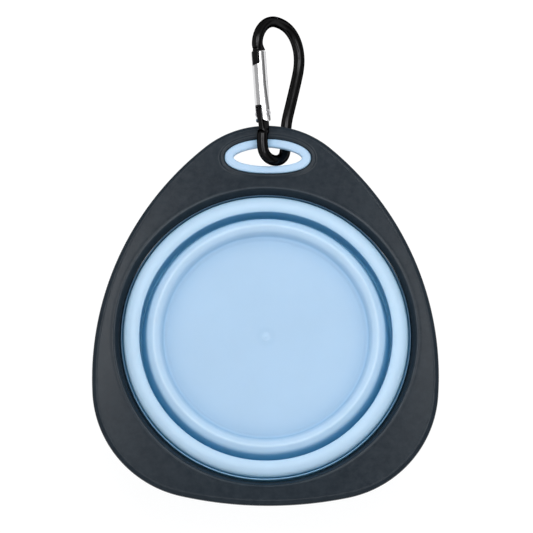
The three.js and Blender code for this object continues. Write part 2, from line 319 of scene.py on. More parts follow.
def zoned(nt, co, color, zones):
    """Scale a colour by the distance from a centre, painting light and shade in rings: a zone is a centre and (radius,
    factor or colour) stops.
    """
    for (cx, cy), bands in zones:
        flat = add(nt, "ShaderNodeVectorMath", operation="MULTIPLY_ADD")
        flat.inputs[1].default_value = (1, 1, 0)
        flat.inputs[2].default_value = (-cx * MM, -cy * MM, 0)
        nt.links.new(co, flat.inputs[0])
        dist = add(nt, "ShaderNodeVectorMath", operation="LENGTH")
        nt.links.new(flat.outputs["Vector"], dist.inputs[0])
        r0, r1 = bands[0][0], bands[-1][0]
        span = add(nt, "ShaderNodeMapRange")
        span.inputs["From Min"].default_value = r0 * MM
        span.inputs["From Max"].default_value = r1 * MM
        nt.links.new(dist.outputs["Value"], span.inputs["Value"])
        painted_light_ramp = ramp(nt, span.outputs["Result"], [((r - r0) / (r1 - r0), f if isinstance(f, tuple) else (f ** 1.35, f, f ** 0.7))
                                             for r, f in bands])
        painted_light_mix = add(nt, "ShaderNodeMix", data_type="RGBA", blend_type="MULTIPLY")
        painted_light_mix.inputs["Factor"].default_value = 1.0
        nt.links.new(color, painted_light_mix.inputs["A"])
        nt.links.new(painted_light_ramp.outputs["Color"], painted_light_mix.inputs["B"])
        color = painted_light_mix.outputs["Result"]
    return color


def frame_plastic():
    mat, nt, b = principled("frame_plastic", (0.018, 0.027, 0.038), 0.5)
    co = coords(nt)
    cloud = noise(nt, co, 210.0, 6.0, 0.75)
    r = ramp(nt, cloud.outputs["Fac"], [(0.3, (0.0100, 0.0160, 0.0230)), (0.7, (0.0172, 0.0248, 0.0335))])
    # the bead round the opening is painted paler: a painted highlight along its edge
    color = zoned(nt, co, r.outputs["Color"], [((0.0, 0.0), [(60.3, (1.0, 1.0, 1.0)), (60.62, (1.5, 1.46, 1.43)), (60.86, (1.9, 1.84, 1.78)),
                                                             (61.08, (1.35, 1.32, 1.3)), (61.3, (1.0, 1.0, 1.0))])])
    nt.links.new(color, b.inputs["Base Color"])
    grain = noise(nt, co, 2600.0, 3.0, 0.6)
    mottle = noise(nt, co, 420.0, 3.0, 0.6)
    rough_map(nt, b, mottle.outputs["Fac"], 0.155, 0.225)
    first = bump(nt, b, mottle.outputs["Fac"], 0.07, 0.0002)
    bump(nt, b, grain.outputs["Fac"], 0.06, 0.0001, first)
    b.inputs["Specular IOR Level"].default_value = 0.15
    return mat


def soft_blue(name, tint=(1.0, 1.0, 1.0), zones=(), lip=None):
    """Pale soft moulding, with painted shade: the colour is darkened where folds lie close together, by ambient
    occlusion.
    tint scales the colour; a zone is a centre and (radius, factor or colour) stops, for painted light and shade in
    rings."""
    base = (0.426, 0.592, 0.757)
    low, high = [tuple(c * t * k for c, t in zip(base, tint)) for k in (0.978, 1.022)]
    mat, nt, b = principled(name, tuple(c * t for c, t in zip(base, tint)), 0.48)
    co = coords(nt)
    cloud = noise(nt, co, 30.0, 5.0, 0.6)
    color = ramp(nt, cloud.outputs["Fac"], [(0.32, low), (0.68, high)]).outputs["Color"]
    plain, color = color, zoned(nt, co, color, zones)
    if lip:
        # the zones' painted shade goes on the lip only; the wall inside it keeps the plain colour
        flat = add(nt, "ShaderNodeVectorMath", operation="MULTIPLY")
        flat.inputs[1].default_value = (1, 1, 0)
        nt.links.new(co, flat.inputs[0])
        dist = add(nt, "ShaderNodeVectorMath", operation="LENGTH")
        nt.links.new(flat.outputs["Vector"], dist.inputs[0])
        out = add(nt, "ShaderNodeMapRange")
        out.inputs["From Min"].default_value = lip[0] * MM
        out.inputs["From Max"].default_value = lip[1] * MM
        nt.links.new(dist.outputs["Value"], out.inputs["Value"])
        part = add(nt, "ShaderNodeMix", data_type="RGBA", blend_type="MIX")
        nt.links.new(out.outputs["Result"], part.inputs["Factor"])
        nt.links.new(plain, part.inputs["A"])
        nt.links.new(color, part.inputs["B"])
        color = part.outputs["Result"]
    # painted shade: the colour is darkened in creases and recesses by ambient occlusion
    crease_occlusion = add(nt, "ShaderNodeAmbientOcclusion", samples=12)
    crease_occlusion.inputs["Distance"].default_value = 0.007
    shade = ramp(nt, crease_occlusion.outputs["AO"], [(0.0, (0.37, 0.78, 0.88)), (0.2, (0.55, 0.865, 0.94)), (0.45, (0.78, 0.93, 0.985)),
                                           (0.65, (0.87, 0.95, 0.985)), (0.82, (0.935, 0.975, 0.992)), (0.95, (1.0, 1.0, 1.0))])
    painted_crease_shade = add(nt, "ShaderNodeMix", data_type="RGBA", blend_type="MULTIPLY")
    painted_crease_shade.inputs["Factor"].default_value = 1.0
    nt.links.new(color, painted_crease_shade.inputs["A"])
    nt.links.new(shade.outputs["Color"], painted_crease_shade.inputs["B"])
    nt.links.new(painted_crease_shade.outputs["Result"], b.inputs["Base Color"])
    mottle = noise(nt, co, 300.0, 3.0, 0.6)
    rough_map(nt, b, mottle.outputs["Fac"], 0.42, 0.54)
    fine = noise(nt, co, 1800.0, 2.0, 0.5)
    bump(nt, b, fine.outputs["Fac"], 0.08, 0.0001)
    b.inputs["Specular IOR Level"].default_value = 0.3
    b.inputs["Subsurface Weight"].default_value = 0.15
    b.inputs["Subsurface Radius"].default_value = (0.5, 0.8, 1.0)
    b.inputs["Subsurface Scale"].default_value = 0.0008
    return mat


def black_anodised():
    mat, nt, b = principled("black_anodised", (0.015, 0.015, 0.016), 0.24, 1.0)
    co = coords(nt)
    wear = noise(nt, co, 260.0, 4.0, 0.6)
    rough_map(nt, b, wear.outputs["Fac"], 0.12, 0.23)
    fine = noise(nt, co, 900.0, 3.0, 0.6)
    r = ramp(nt, fine.outputs["Fac"], [(0.35, (0.0185, 0.0185, 0.019)), (0.75, (0.0245, 0.0245, 0.0255))])
    nt.links.new(r.outputs["Color"], b.inputs["Base Color"])
    bump(nt, b, wear.outputs["Fac"], 0.06, 0.0002)
    b.inputs["Specular Tint"].default_value = (0.12, 0.12, 0.125, 1)
    return mat


def silver():
    mat, nt, b = principled("gate_silver", (0.78, 0.78, 0.79), 0.24, 1.0)
    co = coords(nt)
    stretch = add(nt, "ShaderNodeMapping")
    stretch.inputs["Scale"].default_value = (1.0, 0.06, 1.0)
    nt.links.new(co, stretch.inputs["Vector"])
    brush = noise(nt, stretch.outputs["Vector"], 2400.0, 4.0, 0.65)
    rough_map(nt, b, brush.outputs["Fac"], 0.13, 0.24)
    r = ramp(nt, brush.outputs["Fac"], [(0.3, (0.65, 0.65, 0.665)), (0.7, (0.76, 0.76, 0.77))])
    nt.links.new(r.outputs["Color"], b.inputs["Base Color"])
    bump(nt, b, brush.outputs["Fac"], 0.06, 0.0001)
    return mat


def steel():
    mat, nt, b = principled("steel", (0.55, 0.55, 0.57), 0.3, 1.0)
    co = coords(nt)
    fine = noise(nt, co, 1500.0, 3.0, 0.6)
    rough_map(nt, b, fine.outputs["Fac"], 0.22, 0.4)
    r = ramp(nt, fine.outputs["Fac"], [(0.3, (0.48, 0.48, 0.50)), (0.7, (0.60, 0.60, 0.62))])
    nt.links.new(r.outputs["Color"], b.inputs["Base Color"])
    bump(nt, b, fine.outputs["Fac"], 0.05, 0.0001)
    return mat


M_FRAME, M_BLACK, M_SILVER, M_STEEL = frame_plastic(), black_anodised(), silver(), steel()
M_BLUE = soft_blue("soft_blue")
M_LINING = soft_blue("soft_blue_lining", (0.915, 0.92, 0.95))
# the lip of the rim is painted darker as painted shade, deepest towards the back and palest towards the front
M_RIM = soft_blue("soft_blue_rim", (1.0, 1.0, 1.0),
                  [((0.0, 12.0), [(46.0, (0.151, 0.186, 0.22)), (58.8, (0.202, 0.243, 0.291)), (63.0, (0.28, 0.326, 0.376)),
                                  (66.8, (0.414, 0.474, 0.533)), (69.0, (0.588, 0.666, 0.731)), (70.5, (0.784, 0.87, 0.944))])],
                  lip=(57.2, 57.42))
# the inner fold is a paler copy of the moulding, a painted highlight along its ridge, with painted shade darkening its
# outer slope
M_FOLD = soft_blue("soft_blue_fold", (1.115, 1.09, 1.08),
                   [(BOWL_AT, [(45.0, 0.98), (45.35, 0.955), (45.8, 0.895), (46.5, 0.87), (47.4, 0.88), (48.6, 0.92)])])
# the base is a paler copy of the moulding with painted light and shade: its floor is painted darker towards the fold's
# wall, deepest at the wall's foot, and the nub gets a pale painted highlight with a faint painted shadow ring round it
M_BASE = soft_blue("soft_blue_base", (1.135, 1.095, 1.075),
                   [(BOWL_AT, [(26.0, 0.777), (31.0, 0.772), (34.0, 0.76), (36.5, 0.735), (38.5, 0.695), (40.2, 0.66), (41.2, (0.63, 0.755, 0.86)),
                               (42.0, (0.815, 0.895, 0.955)), (43.0, (0.86, 0.905, 0.945)), (43.8, 0.905), (44.3, 0.93), (44.65, 0.965), (45.0, 0.98)]),
                    (NUB_AT, [(0.0, 1.13), (0.45, 1.10), (0.9, 1.075), (1.45, 1.06), (1.95, 0.975), (2.9, 0.968), (4.6, 1.0)])])


def dress(ob, mat, slot, body, *nodes):
    ob.data.materials.clear()
    ob.data.materials.append(mat)
    if body:
        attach(ob, body)
    if nodes:
        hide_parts(*nodes)
    return ob


# --------------------------------------------------------------- frame outline
def arc(cx, cy, r, a0, a1, n):
    return [(cx + r * math.cos(math.radians(a0 + (a1 - a0) * i / n)),
             cy + r * math.sin(math.radians(a0 + (a1 - a0) * i / n))) for i in range(n + 1)]


def outline(inset):
    """The frame's edge, moved inwards by inset; counter-clockwise, always the same count."""
    ty, tr = TOP_ARC
    cx, cy, cr = CORNER
    by = cy + math.sqrt((BOTTOM_R - cr) ** 2 - cx ** 2)
    a, b = SIDE_R - tr, SIDE_R - cr
    dx, dy = cx, cy - ty
    d = math.hypot(dx, dy)
    e = (a * a - b * b + d * d) / (2 * d)
    h = math.sqrt(a * a - e * e)
    sx, sy = e * dx / d + h * dy / d, ty + e * dy / d - h * dx / d
    deg = lambda x, y: math.degrees(math.atan2(y, x))
    t0, t1, t2 = deg(-sx, ty - sy), deg(cx - sx, cy - sy), deg(cx, cy - by)
    right = arc(0, ty, tr - inset, 90, t0, 34)
    right += arc(sx, sy, SIDE_R - inset, t0, t1, 40)[1:]
    right += arc(cx, cy, cr - inset, t1, t2, 46)[1:]
    right += arc(0, by, BOTTOM_R - inset, t2, -90, 14)[1:]
    left = [(-x, y) for x, y in right[1:-1]][::-1]
    return (right + left)[::-1]


def lens(o, grow, n=96):
    """Oval with unlike upper and lower halves, counter-clockwise."""
    pts = []
    for i in range(n):
        t = 2 * math.pi * (i + 0.5) / n
        c = math.cos(t)
        p, h = (o["pu"], o["up"]) if math.sin(t) >= 0 else (o["pd"], o["down"])
        k = max(0.0, 1 - abs(c) ** p) ** (1 / p)
        pts.append(((o["a"] + grow) * c, SLOT_Y + math.copysign((h + grow) * k, math.sin(t))))
    return pts


def circle(r, n=240):
    return [(r * math.cos(2 * math.pi * i / n), r * math.sin(2 * math.pi * i / n)) for i in range(n)]


def inside(poly, x, y):
    hit = False
    j = len(poly) - 1
    for i in range(len(poly)):
        (xi, yi), (xj, yj) = poly[i], poly[j]
        if (yi > y) != (yj > y) and x < (xj - xi) * (y - yi) / (yj - yi) + xi:
            hit = not hit
        j = i
    return hit


def make_frame():
    verts, faces, flat = [], [], []

    def put(points, z):
        start = len(verts)
        zz = z if callable(z) else (lambda x, y: z)
        verts.extend((x, y, zz(x, y)) for x, y in points)
        return list(range(start, start + len(points)))

    def strip(a, b, out):
        n = len(a)
        for i in range(n):
            j = (i + 1) % n
            q = (a[i], a[j], b[j], b[i])
            faces.append(q if out else q[::-1])

    def cap(rings, up):
        ids = [i for r in rings for i in r]
        pts = [Vector((verts[i][0], verts[i][1])) for i in ids]
        edges, k = [], 0
        for r in rings:
            n = len(r)
            edges += [(k + i, k + (i + 1) % n) for i in range(n)]
            k += n
        co, _, tris, origin, _, _ = delaunay_2d_cdt(pts, edges, [], 0, 1e-7)
        polys = [[(verts[i][0], verts[i][1]) for i in r] for r in rings]
        for t in tris:
            x = sum(co[i][0] for i in t) / 3
            y = sum(co[i][1] for i in t) / 3
            if not inside(polys[0], x, y) or any(inside(p, x, y) for p in polys[1:]):
                continue
            f = [ids[origin[i][0]] for i in t]
            n = (verts[f[1]][0] - verts[f[0]][0]) * (verts[f[2]][1] - verts[f[0]][1]) \
                - (verts[f[1]][1] - verts[f[0]][1]) * (verts[f[2]][0] - verts[f[0]][0])
            if (n > 0) != up:
                f.reverse()
            flat.append(len(faces))
            faces.append(f)

    # outer edge: crisp shoulder, slanted bevel, rounded nose
    edge = [(2.3, TOP), (2.1, TOP + 0.012), (1.9, TOP + 0.045), (1.7, TOP + 0.075), (1.52, TOP + 0.07), (1.38, TOP + 0.03),
            (1.26, TOP - 0.04), (1.1, TOP - 0.12), (0.8, TOP - 0.26), (0.55, TOP - 0.39), (0.36, TOP - 0.51), (0.22, TOP - 0.66),
            (0.1, TOP - 0.88), (0.03, TOP - 1.15), (0.0, TOP - 1.5), (0.0, TOP - 1.9), (0.05, TOP - 2.25), (0.18, TOP - 2.52),
            (0.40, TOP - 2.7), (0.70, TOP - 2.78), (1.0, UNDER)]
    outer = [put(outline(d), z) for d, z in edge]
    for a, b in zip(outer[:-1], outer[1:]):
        strip(a, b, False)

    # opening: fine valley, raised bead, sloped wall, bore, collar
    mouth = [(62.7, TOP), (62.3, TOP - 0.002), (61.95, TOP - 0.009), (61.6, TOP - 0.016), (61.34, TOP - 0.014),
             (61.16, TOP + 0.004), (61.03, TOP + 0.048), (60.88, TOP + 0.086), (60.7, TOP + 0.082), (60.5, TOP + 0.018),
             (60.34, TOP - 0.09), (60.22, TOP - 0.22), (60.1, TOP - 0.4), (59.8, TOP - 0.98), (59.36, TOP - 1.72), (58.95, TOP - 2.42), (58.62, TOP - 2.95),
             (58.5, TOP - 3.14), (58.44, TOP - 3.25), (58.5, TOP - 3.3), (58.7, TOP - 3.3), (59.0, TOP - 3.3),
             (59.1, TOP - 3.4), (59.1, 0.6), (59.1, -2.0), (59.1, COLLAR_BOTTOM + 0.35), (59.2, COLLAR_BOTTOM + 0.1),
             (59.45, COLLAR_BOTTOM), (61.35, COLLAR_BOTTOM), (61.65, COLLAR_BOTTOM + 0.1), (61.85, COLLAR_BOTTOM + 0.3),
             (61.92, COLLAR_BOTTOM + 0.6), (62.0, -1.0), (62.1, UNDER - 1.2), (62.2, UNDER - 0.6), (62.45, UNDER - 0.22),
             (62.8, UNDER - 0.04), (63.2, UNDER)]
    rings = [put(circle(r), z) for r, z in mouth]
    for a, b in zip(rings[:-1], rings[1:]):
        strip(a, b, True)

    # slot: low raised lip round a straight cut
    slot = [(2.6, TOP), (2.3, TOP + 0.02), (2.05, TOP + 0.09), (1.85, TOP + 0.19), (1.62, TOP + 0.27), (1.35, TOP + 0.31),
            (1.0, TOP + 0.31), (0.65, TOP + 0.25), (0.36, TOP + 0.12), (0.16, TOP - 0.06), (0.05, TOP - 0.28), (0.0, TOP - 0.6),
            (0.0, UNDER + 0.5), (0.06, UNDER + 0.25), (0.2, UNDER + 0.08), (0.5, UNDER)]
    cut = [put(lens(LINING, g), z) for g, z in slot]
    for a, b in zip(cut[:-1], cut[1:]):
        strip(a, b, True)

    cap([outer[0], rings[0], cut[0]], True)
    cap([outer[-1], rings[-1], cut[-1]], False)
    return mesh_object("frame_moulding", verts, faces, vertex_normals(verts, faces, flat))


# ------------------------------------------------------------------ slot lining
def make_lining():
    # across the ring: 0 = inner hole, 1 = outside; then height
    sec = [(0.0, UNDER + 0.5), (0.0, TOP - 0.55), (0.015, TOP - 0.28), (0.06, TOP - 0.08), (0.14, TOP + 0.05),
           (0.26, TOP + 0.12), (0.42, TOP + 0.16), (0.58, TOP + 0.16), (0.74, TOP + 0.12), (0.86, TOP + 0.05),
           (0.94, TOP - 0.08), (0.985, TOP - 0.28), (1.0, TOP - 0.55), (1.0, UNDER + 0.5), (0.985, UNDER + 0.26),
           (0.94, UNDER + 0.08), (0.86, UNDER - 0.05), (0.74, UNDER - 0.12), (0.58, UNDER - 0.16), (0.42, UNDER - 0.16),
           (0.26, UNDER - 0.12), (0.14, UNDER - 0.05), (0.06, UNDER + 0.08), (0.015, UNDER + 0.26)]
    n = 160
    inner = np.array(lens(HOLE, 0.0, n))
    outer = np.array(lens(LINING, 0.03, n))
    verts, faces = [], []
    for f, z in sec:
        p = inner + (outer - inner) * f
        verts.extend((x, y, z) for x, y in p)
    k = len(sec)
    for i in range(k):
        for j in range(n):
            a, b = i * n + j, i * n + (j + 1) % n
            c, d = ((i + 1) % k) * n + (j + 1) % n, ((i + 1) % k) * n + j
            faces.append((d, c, b, a))
    return mesh_object("slot_lining_ring", verts, faces, vertex_normals(verts, faces))


# ---------------------------------------------------------------- bellows bowl
UP, DOWN = (0.0, 1.0), (0.0, -1.0)

RIM_IN = spline([(56.95, -4.05), (57.0, -3.7), (57.02, -3.0), (57.02, 0.0), (57.06, 1.6), (57.16, 2.6), (57.38, 3.35),
                 (57.6, 3.86), (57.79, 4.04), (57.96, 3.92), (58.08, 3.58), (58.13, 3.0)], 5)
RIM_OUT = spline([(58.13, 3.0), (58.17, 2.2), (58.24, 1.5), (58.44, 0.9), (58.7, 0.3), (58.8, -0.6), (58.8, -2.6), (58.78, -4.3),
                  (58.5, -4.9), (57.9, -5.28), (56.95, -5.38)], 5)
WEB1_TOP = spline([(56.95, -4.05), (56.9, -3.7), (56.88, -3.0), (56.88, 0.0), (56.92, 2.4), (57.0, 3.3), (56.99, 4.15),
                   (56.78, 4.9), (56.34, 5.48), (55.66, 6.01), (54.87, 6.42), (54.1, 6.7), (53.4, 6.8)], 6)
WEB1_LOW = spline([(53.4, 5.4), (54.2, 5.2), (54.8, 4.7), (55.15, 3.8), (55.25, 2.6), (55.25, 0.0), (55.25, -3.0),
                   (55.32, -4.1), (55.65, -4.95), (56.2, -5.3), (56.95, -5.38)], 6)
TIER_TOP = spline([(53.4, 6.8), (52.9, 6.78), (52.3, 6.68), (51.7, 6.46), (51.2, 6.2), (50.86, 5.94), (50.68, 5.62),
                   (50.62, 5.2), (50.7, 4.4), (50.95, 3.0), (51.05, 1.2), (50.98, -0.8), (50.72, -2.6), (50.36, -3.8),
                   (49.9, -4.3)], 6)
TIER_LOW = spline([(49.9, -5.5), (50.7, -5.35), (51.35, -4.7), (51.8, -3.4), (52.1, -1.2), (52.2, 1.2),
                   (52.15, 3.2), (52.3, 4.5), (52.8, 5.2), (53.4, 5.4)], 6)
WEB2_TOP = spline([(49.9, -4.3), (49.55, -3.9), (49.3, -2.9), (48.95, -1.0), (48.6, 1.0), (48.3, 2.7), (48.02, 4.0),
                   (47.66, 4.86), (47.1, 5.45), (46.4, 5.92), (45.75, 6.3), (45.4, 6.5), (45.0, 6.6)], 6)
WEB2_LOW = spline([(45.0, 5.25), (45.5, 5.05), (45.95, 4.5), (46.4, 3.3), (46.9, 1.2), (47.4, -1.0), (47.9, -3.2),
                   (48.4, -4.6), (49.0, -5.3), (49.9, -5.5)], 6)
BASE_TOP = spline([(45.0, 6.6), (44.6, 6.5), (44.25, 6.3), (43.7, 5.98), (43.1, 5.55), (42.5, 4.95), (42.05, 4.25),
                   (41.65, 3.55), (41.3, 3.0), (40.95, 2.66), (40.55, 2.5), (40.1, 2.4), (39.75, 2.31), (39.4, 2.23),
                   (39.0, 2.2), (38.4, 2.2)], 5)
NUB = [(30.0, 2.2), (20.0, 2.2), (12.0, 2.2), (7.0, 2.2), (4.0, 2.2), (3.0, 2.195), (2.4, 2.19), (2.1, 2.195), (1.9, 2.212),
       (1.7, 2.242), (1.45, 2.282), (1.2, 2.312), (0.9, 2.336), (0.65, 2.348), (0.5, 2.36), (0.38, 2.385), (0.25, 2.41),
       (0.12, 2.42), (0.0, 2.422)]
BASE_LOW = [(0.0, 0.0), (12.0, 0.0), (34.6, 0.0), (34.8, 0.06), (35.0, 0.2), (35.3, 0.26), (35.6, 0.2), (35.8, 0.06),
            (36.0, 0.0), (39.6, 0.0)]
BASE_OUT = spline([(39.6, 0.0), (40.3, 0.02), (41.1, 0.22), (41.75, 0.75), (42.4, 1.9), (43.0, 3.2), (43.6, 4.4),
                   (44.2, 5.0), (45.0, 5.25)], 5)


def ease(x):
    t = min(1.0, max(0.0, x))
    return t * t * (3 - 2 * t)


def fold_seat(r, z):
    k = ease(z / 3.4) * (1 - 0.35 * ease((r - 51.0) / 4.0))
    return BOWL_AT[0] * k, BOWL_AT[1] * k


def base_seat(r, z):
    k, n = ease(z / 2.0), 1 - ease((r - 3.0) / 9.0)
    return tuple(k * (b + (u - b) * n) for b, u in zip(BOWL_AT, NUB_AT))


def make_bowl():
    side = (-0.95, 0.3)
    rim = turned("rim_band_soft", [
        dict(pts=RIM_IN, n0=(-0.4, 0.92)), dict(pts=RIM_OUT, n1=DOWN),
        [(56.95, -5.38), (56.95, -4.05)]], centre=fold_seat)
    web1 = turned("upper_fold_web_soft", [
        dict(pts=WEB1_TOP, n0=(0.4, 0.92), n1=UP), [(53.4, 6.8), (53.4, 5.4)],
        dict(pts=WEB1_LOW, n0=DOWN, n1=DOWN), [(56.95, -5.38), (56.95, -4.05)]], centre=fold_seat)
    tier = turned("tier_band_soft", [
        dict(pts=TIER_TOP, n0=UP, n1=(0.0, 1.0)), [(49.9, -4.3), (49.9, -5.5)],
        dict(pts=TIER_LOW, n0=DOWN, n1=DOWN), [(53.4, 5.4), (53.4, 6.8)]], centre=fold_seat)
    web2 = turned("lower_fold_web_soft", [
        dict(pts=WEB2_TOP, n0=(0.0, 1.0), n1=UP), [(45.0, 6.6), (45.0, 5.25)],
        dict(pts=WEB2_LOW, n0=DOWN, n1=DOWN), [(49.9, -5.5), (49.9, -4.3)]], centre=fold_seat)
    base = turned("base_cup_soft", [
        dict(pts=BASE_LOW + BASE_OUT[1:], n1=DOWN), [(45.0, 5.25), (45.0, 6.6)],
        dict(pts=BASE_TOP + NUB, n0=UP)], centre=base_seat)
    return rim, web1, tier, web2, base


# ------------------------------------------------------------------- carabiner
LINK = Matrix.Rotation(LEAN, 4, "Z") @ Matrix.Translation((LINK_X, 0, LINK_Z)) @ Matrix.Rotation(TWIST, 4, "Y")
GATE = LINK @ Matrix.Translation((PIVOT[0], PIVOT[1], 0)) @ Matrix.Rotation(GATE_LEAN, 4, "Z")


def gate_point(t, s):
    c, k = math.cos(GATE_LEAN), math.sin(GATE_LEAN)
    return (PIVOT[0] + t * c - s * k, PIVOT[1] + t * k + s * c)


def make_hook():
    """One bar: round along the bend, flattened to a nose at one end and a tang at the other."""
    st = []                       # centre, half width, half thickness, squareness, offset through, slant

    def gp(t, s, a, b, p, z=0.0, slant=0.0):
        st.append((gate_point(t, s), a, b, p, z, slant))

    gp(-1.45, 19.95, 0.60, 0.9, 3.0, 0.45, 0.28)
    gp(-1.38, 20.02, 0.95, 1.2, 4.0, 0.45, 0.28)
    gp(-1.28, 20.22, 1.22, 1.40, 6.0, 0.45, 0.28)
    gp(-1.25, 20.7, 1.34, 1.46, 8.0, 0.45, 0.2)
    gp(-1.25, 22.5, 1.36, 1.46, 8.0, 0.45)
    gp(-1.25, 24.3, 1.36, 1.46, 8.0, 0.45)
    gp(-1.22, 25.1, 1.38, 1.46, 8.0, 0.42)
    gp(-1.02, 25.42, 1.56, 1.50, 6.0, 0.35)
    gp(-0.25, 25.55, 2.05, 1.55, 5.0, 0.25)
    gp(0.36, 25.62, 2.52, 1.68, 4.2, 0.1)
    gp(0.42, 25.8, 2.60, 1.74, 3.6, 0.0)
    gp(0.26, 26.5, 2.34, 1.82, 3.0, 0.0)
    body = spline(HOOK_PATH, 9)
    first = next(i for i, q in enumerate(body) if q[1] > 117.2)
    last = len(body) - 1 - next(i for i, q in enumerate(body[::-1]) if q[1] < 82.2)
    for i, q in enumerate(body[first:last + 1]):
        b = ROD_R
        a = ROD_R
        p = 2.0
        if i < 7:                              # the flats of the nose run out into the round bar
            f = i / 7.0
            b = 1.9 + (ROD_R - 1.9) * f
            a = 2.24 + (ROD_R - 2.24) * f
            p = 2.6 - 0.6 * f
        st.append((q, a, b, p, 0.0, 0.0))
    # round shoulder where the bar ends, then the pressed tang
    gp(-0.04, -7.55, 2.18, 2.14, 2.0)
    gp(-0.04, -7.15, 2.13, 2.02, 2.1)
    gp(-0.02, -6.80, 2.06, 1.84, 2.3)
    gp(0.02, -6.48, 2.01, 1.64, 2.8)
    gp(0.07, -6.18, 2.00, 1.46, 3.5)
    gp(0.12, -5.85, 2.02, 1.33, 4.4)
    gp(0.15, -5.45, 2.07, 1.27, 5.2)
    gp(0.16, -4.8, 2.14, 1.25, 6.0)
    gp(0.10, -3.4, 2.22, 1.25, 6.0)
    gp(-0.06, -1.8, 2.18, 1.25, 6.0)
    gp(-0.08, 0.0, 2.12, 1.25, 6.0)
    gp(-0.06, 1.3, 2.06, 1.25, 6.0)
    gp(-0.08, 1.75, 1.97, 1.25, 6.0)
    gp(-0.22, 2.0, 1.8, 1.22, 6.0)
    gp(-1.22, 2.14, 0.52, 1.22, 5.0)
    gp(-1.24, 2.9, 0.50, 1.22, 5.0)
    gp(-1.24, 3.1, 0.42, 1.12, 4.0)
    gp(-1.24, 3.16, 0.26, 0.8, 3.0)
    n = 40
    c = np.array([s[0] for s in st])
    d = np.zeros_like(c)
    d[1:-1] = c[2:] - c[:-2]
    d[0], d[-1] = c[1] - c[0], c[-1] - c[-2]
    # the flattened ends keep the gate's direction
    g = np.array([-math.sin(GATE_LEAN), math.cos(GATE_LEAN)])
    for i in list(range(12)) + list(range(len(st) - 18, len(st))):
        d[i] = g
    d /= np.linalg.norm(d, axis=1, keepdims=True)
    verts, faces = [], []
    for (q, a, b, p, off, slant), t in zip(st, d):
        nx, ny = t[1], -t[0]
        for j in range(n):
            w = 2 * math.pi * (j + 0.5) / n
            cw, sw = math.cos(w), math.sin(w)
            x = math.copysign(abs(cw) ** (2 / p), cw) * a
            z = math.copysign(abs(sw) ** (2 / p), sw) * b
            verts.append((q[0] + nx * x + t[0] * slant * z, q[1] + ny * x + t[1] * slant * z, z + off))
    m = len(st)
    for i in range(m - 1):
        for j in range(n):
            k = (j + 1) % n
            faces.append((i * n + j, i * n + k, (i + 1) * n + k, (i + 1) * n + j))
    faces.append(tuple(range(n))[::-1])
    faces.append(tuple((m - 1) * n + j for j in range(n)))
    v = np.array(verts)
    vol = 0.0
    for f in faces:
        for i in range(1, len(f) - 1):
            vol += np.dot(v[f[0]], np.cross(v[f[i]], v[f[i + 1]]))
    if vol < 0:
        faces = [tuple(f[::-1]) for f in faces]
    return mesh_object("carabiner_hook_bar", verts, faces, vertex_normals(verts, faces), LINK)


def prism(points, z0, z1, name="cutter"):
    n = len(points)
    verts = [(x, y, z0) for x, y in points] + [(x, y, z1) for x, y in points]
    faces = [tuple(range(n))[::-1], tuple(range(n, 2 * n))]
    faces += [(i, (i + 1) % n, n + (i + 1) % n, n + i) for i in range(n)]
    return mesh_object(name, verts, faces)


def boolean(ob, cutter, operation):
    mod = ob.modifiers.new("cut", "BOOLEAN")
    mod.operation = operation
    mod.solver = "EXACT"
    mod.object = cutter
    apply(ob)
    bpy.data.objects.remove(cutter, do_unlink=True)


def apply(ob):
    deps = bpy.context.evaluated_depsgraph_get()
    me = bpy.data.meshes.new_from_object(ob.evaluated_get(deps))
    ob.modifiers.clear()
    old = ob.data
    ob.data = me
    bpy.data.meshes.remove(old)


def make_gate():
    """A drawn tube: forked round the tang below, slotted for the nose above."""
    n = 96
    prof = [(2.0, GATE_TOP), (2.62, GATE_TOP - 0.02), (2.83, GATE_TOP - 0.1), (2.93, GATE_TOP - 0.26), (GATE_R, GATE_TOP - 0.5),
            (GATE_R, 12.0), (GATE_R, -3.4)]
    verts, faces = [], []
    for r, s in prof:
        verts.extend((r * math.cos(2 * math.pi * j / n), s, r * math.sin(2 * math.pi * j / n)) for j in range(n))
    for i in range(len(prof) - 1):
        for j in range(n):
            k = (j + 1) % n
            faces.append((i * n + j, i * n + k, (i + 1) * n + k, (i + 1) * n + j))
    faces.append(tuple(range(n))[::-1])
    faces.append(tuple((len(prof) - 1) * n + j for j in range(n)))
    ob = mesh_object("carabiner_gate_tube", verts, faces)
    bm = bmesh.new()
    bm.from_mesh(ob.data)
    bmesh.ops.recalc_face_normals(bm, faces=bm.faces)
    bm.to_mesh(ob.data)
    bm.free()
    # rounded fork end
    boolean(ob, prism([(-3.05, 30.0)] + arc(0, -0.3, 3.05, 180, 360, 40) + [(3.05, 30.0)], -4, 4), "INTERSECT")
    # fork slot, round at its root, and the nose slot
    boolean(ob, slot_cutter(-4.0, 4.0, -4.5, 3.4, 3.4, *FORK), "DIFFERENCE")
    boolean(ob, slot_cutter(-4.0, 0.4, 27.0, 19.35, 20.05, *NOTCH), "DIFFERENCE")
    bore = mesh_cylinder(1.65, 1.5, 18.0)
    boolean(ob, bore, "DIFFERENCE")
    mod = ob.modifiers.new("edges", "BEVEL")
    mod.width = 0.00013
    mod.segments = 2
    mod.limit_method = "ANGLE"
    mod.angle_limit = math.radians(38)
    apply(ob)
    for poly in ob.data.polygons:
        poly.use_smooth = True
    ob.data.set_sharp_from_angle(angle=math.radians(40))
    ob.data.transform(Matrix.Scale(1 / MM, 4))
    ob.data.transform(Matrix.Scale(MM, 4) @ GATE)
    return ob


